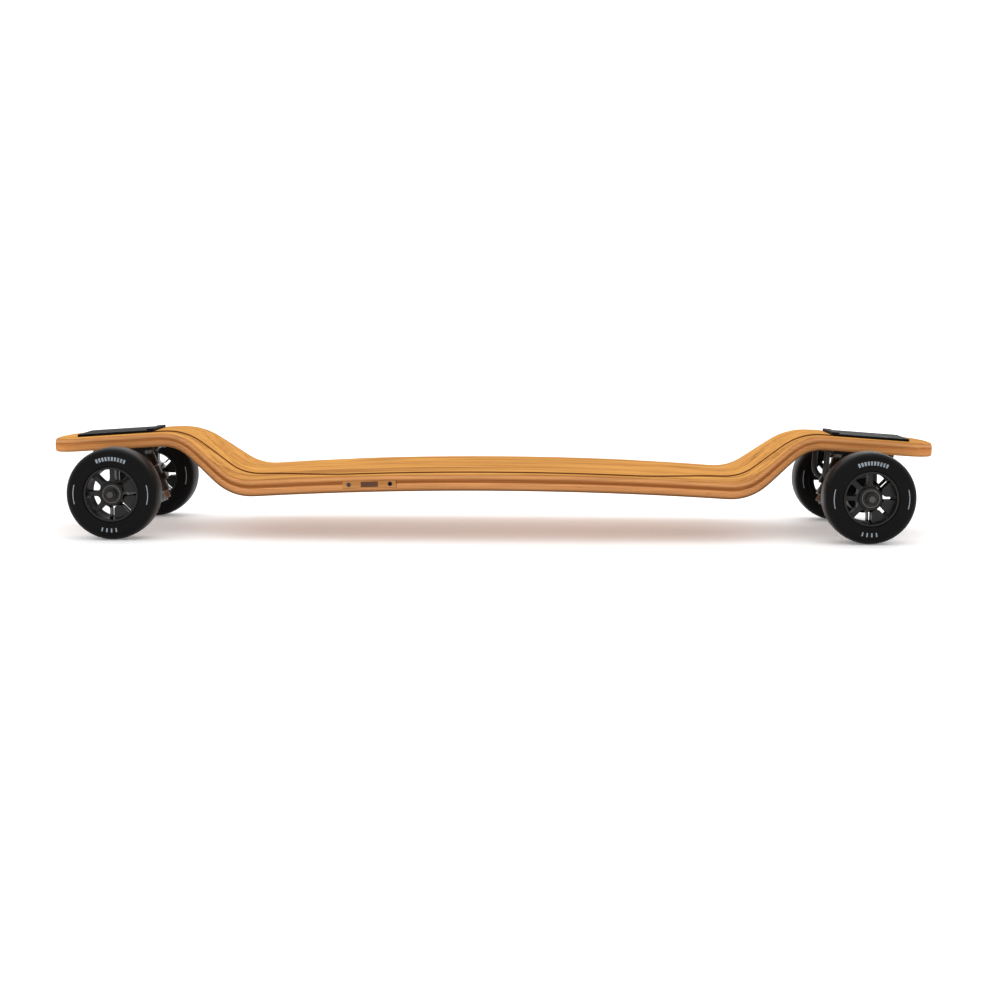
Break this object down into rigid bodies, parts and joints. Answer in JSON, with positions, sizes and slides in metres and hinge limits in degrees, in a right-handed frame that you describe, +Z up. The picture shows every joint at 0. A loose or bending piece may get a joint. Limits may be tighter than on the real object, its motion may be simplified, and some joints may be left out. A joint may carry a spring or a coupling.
{
  "type": "electric skateboard",
  "caption": "Longboard with a dropped, cambered laminated deck, inset battery lid, kingpin trucks, large spoked wheels and motors inside the rear hanger.",
  "frame": {"origin": "on the ground under the middle of the board", "axes": "+X along the board towards the driven rear truck, +Y to the rider's right, +Z up"},
  "size_m": [1.066, 0.2952, 0.1232],
  "materials": {
    "ply_bottom": "oiled",
    "ply_core": "oiled",
    "ply_top": "oiled",
    "lid_wood": "oiled",
    "dark_steel": "satin",
    "cell_wrap": "smooth",
    "nickel": "bright",
    "circuit_green": "solder mask",
    "controller_alloy": "anodised",
    "receiver_blue": "smooth",
    "wire_black": "matt",
    "panel_wood": "oiled",
    "gauge_glass": "gloss",
    "socket_black": "moulded",
    "button_black": "moulded",
    "cover_black": "satin powder coat",
    "zinc_steel": "zinc plated",
    "truck_black": "satin powder coat",
    "cup_urethane": "matt",
    "bushing_urethane": "satin",
    "copper": "wound and varnished",
    "bearing_steel": "ground",
    "tyre_urethane": "satin",
    "core_nylon": "moulded",
    "shaft_steel": "ground",
    "magnet_steel": "nickel plated",
    "adaptor_alloy": "anodised"
  },
  "bodies": {
    "deck": {"deck_bottom_ply": "ply_bottom", "deck_core_ply": "ply_core", "deck_top_ply": "ply_top", "battery_lid": "lid_wood", "lid_screws": "dark_steel", "battery_cells": "cell_wrap", "cell_links": "nickel", "battery_bms": "circuit_green", "motor_controller": "controller_alloy", "radio_receiver": "receiver_blue", "wiring_harness": "wire_black", "side_panel": "panel_wood", "battery_gauge": "gauge_glass", "charge_socket": "socket_black", "front_cover_plate": "cover_black", "rear_cover_plate": "cover_black", "truck_bolts": "dark_steel", "truck_nuts": "zinc_steel", "front_baseplate": "truck_black", "rear_baseplate": "truck_black", "front_pivot_cup": "cup_urethane", "rear_pivot_cup": "cup_urethane", "front_kingpin": "zinc_steel", "rear_kingpin": "zinc_steel", "front_kingpin_nut": "zinc_steel", "rear_kingpin_nut": "zinc_steel", "front_kingpin_washers": "zinc_steel", "rear_kingpin_washers": "zinc_steel", "front_bushings": "bushing_urethane", "rear_bushings": "bushing_urethane", "lead_grommets": "wire_black", "motor_leads": "wire_black"},
    "button": {"power_button": "button_black"},
    "front_truck": {"front_hanger": "truck_black", "front_axle": "shaft_steel", "front_axle_spacers": "zinc_steel", "front_axle_nuts": "zinc_steel"},
    "rear_truck": {"rear_hanger": "truck_black", "motor_end_caps": "truck_black", "motor_stators": "copper", "shaft_bearings": "bearing_steel"},
    "front_left_wheel": {"front_left_tyre": "tyre_urethane", "front_left_core": "core_nylon", "front_left_bearings": "bearing_steel"},
    "front_right_wheel": {"front_right_tyre": "tyre_urethane", "front_right_core": "core_nylon", "front_right_bearings": "bearing_steel"},
    "rear_left_wheel": {"rear_left_tyre": "tyre_urethane", "rear_left_core": "core_nylon", "rear_left_drive_shaft": "shaft_steel", "rear_left_rotor": "magnet_steel", "rear_left_hub_adaptors": "adaptor_alloy", "rear_left_axle_nut": "zinc_steel"},
    "rear_right_wheel": {"rear_right_tyre": "tyre_urethane", "rear_right_core": "core_nylon", "rear_right_drive_shaft": "shaft_steel", "rear_right_rotor": "magnet_steel", "rear_right_hub_adaptors": "adaptor_alloy", "rear_right_axle_nut": "zinc_steel"}
  },
  "joints": [
    {"name": "front_steer", "type": "hinge", "parent": "deck", "child": "front_truck", "pos_m": [-0.46188, 0, 0.08677], "axis": [-0.8413, 0, 0.5405], "range_deg": [-12, 12], "stiffness_Nm_per_rad": 60, "deforming": ["front_bushings"]},
    {"name": "rear_steer", "type": "hinge", "parent": "deck", "child": "rear_truck", "pos_m": [0.46188, 0, 0.08677], "axis": [0.8413, 0, 0.5405], "range_deg": [-12, 12], "stiffness_Nm_per_rad": 60, "deforming": ["rear_bushings", "motor_leads"]},
    {"name": "front_left_spin", "type": "hinge", "parent": "front_truck", "child": "front_left_wheel", "pos_m": [-0.4385, -0.122, 0.0535], "axis": [0, 1, 0], "continuous": true},
    {"name": "front_right_spin", "type": "hinge", "parent": "front_truck", "child": "front_right_wheel", "pos_m": [-0.4385, 0.122, 0.0535], "axis": [0, 1, 0], "continuous": true},
    {"name": "rear_left_spin", "type": "hinge", "parent": "rear_truck", "child": "rear_left_wheel", "pos_m": [0.4385, -0.122, 0.0535], "axis": [0, 1, 0], "continuous": true},
    {"name": "rear_right_spin", "type": "hinge", "parent": "rear_truck", "child": "rear_right_wheel", "pos_m": [0.4385, 0.122, 0.0535], "axis": [0, 1, 0], "continuous": true},
    {"name": "button_press", "type": "slide", "parent": "deck", "child": "button", "axis": [0, 1, 0], "range_m": [0, 0.001], "stiffness_N_per_m": 400}
  ]
}
